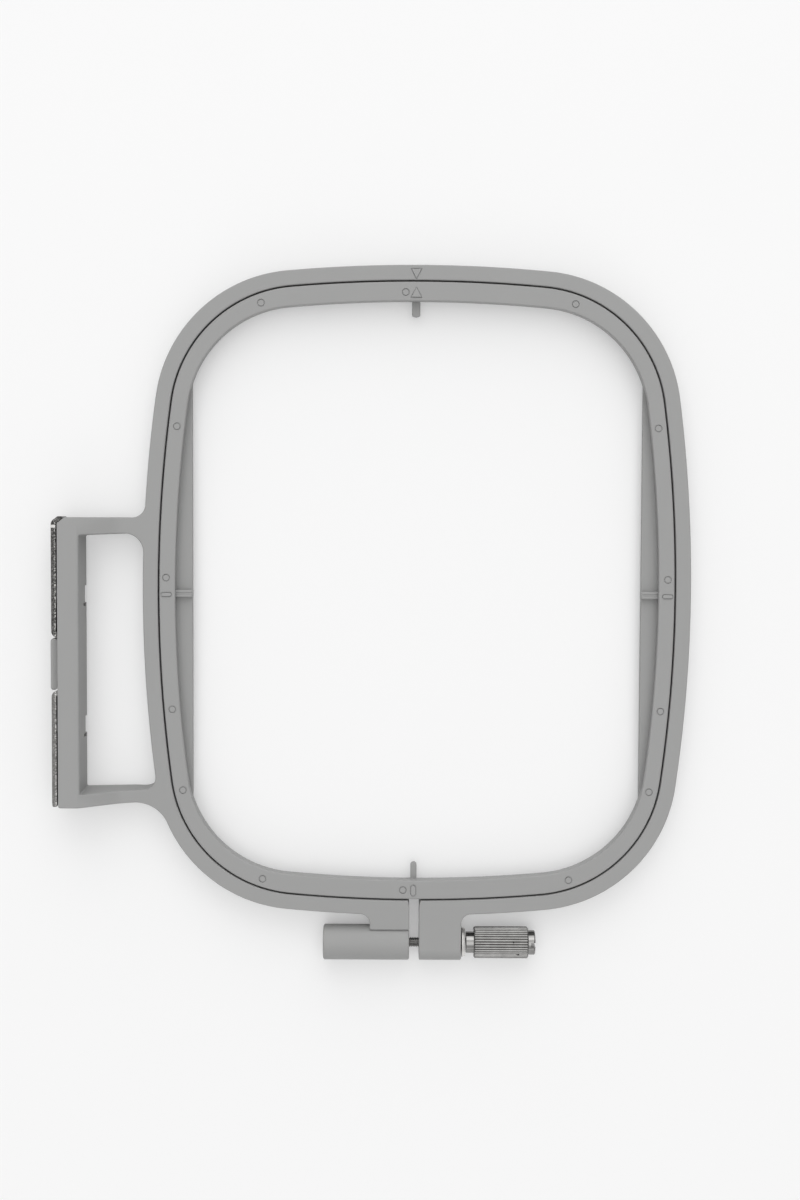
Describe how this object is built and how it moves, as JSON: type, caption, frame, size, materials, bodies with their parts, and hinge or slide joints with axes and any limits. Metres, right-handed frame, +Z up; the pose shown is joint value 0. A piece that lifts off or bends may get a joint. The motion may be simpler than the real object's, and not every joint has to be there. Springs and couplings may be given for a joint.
{
  "type": "machine embroidery hoop",
  "caption": "Two-ring hoop that clamps fabric for a sewing machine's embroidery arm, with a thumbscrew clamp and a sprung coupling bar on its left side.",
  "frame": {"origin": "middle of the hoop's box, on the bed that it lies on", "axes": "+X to the right across the sewing field, away from the coupling; +Y along the field, away from the clamp; +Z up from the bed"},
  "size_m": [0.155, 0.1698, 0.0124],
  "materials": {
    "grey_plastic": "fine satin moulded plastic",
    "spring_steel": "stamped strip with sheared edges",
    "nickel": "turned and nickel plated",
    "brass": "turned"
  },
  "bodies": {
    "frame": {"outer_frame": "grey_plastic", "threaded_insert": "brass"},
    "inner_ring": {"inner_ring": "grey_plastic"},
    "washer": {"cone_washer": "nickel"},
    "screw": {"clamp_screw": "nickel"},
    "upper_spring": {"upper_leaf_spring": "spring_steel"},
    "lower_spring": {"lower_leaf_spring": "spring_steel"}
  },
  "joints": [
    {"name": "inner_ring_lift", "type": "slide", "parent": "frame", "child": "inner_ring", "axis": [0, 0, 1], "range_m": [0, 0.03]},
    {"name": "screw_travel", "type": "slide", "parent": "frame", "child": "washer", "axis": [1, 0, 0], "range_m": [0, 0.0036]},
    {"name": "screw_turn", "type": "hinge", "parent": "washer", "child": "screw", "pos_m": [0.0234, -0.08056, 0.0044], "axis": [1, 0, 0], "range_deg": [0, 2885]},
    {"name": "upper_spring_flex", "type": "hinge", "parent": "frame", "child": "upper_spring", "pos_m": [-0.07687, -0.00426, 0.0072], "axis": [0, 0, -1], "range_deg": [0, 2.1], "stiffness_Nm_per_rad": 0.5},
    {"name": "lower_spring_flex", "type": "hinge", "parent": "frame", "child": "lower_spring", "pos_m": [-0.07687, -0.01901, 0.0072], "axis": [0, 0, 1], "range_deg": [0, 2.1], "stiffness_Nm_per_rad": 0.5}
  ],
  "couplings": [
    {"joint": "screw_turn", "follows": "screw_travel", "rad_per_m": 13963}
  ]
}
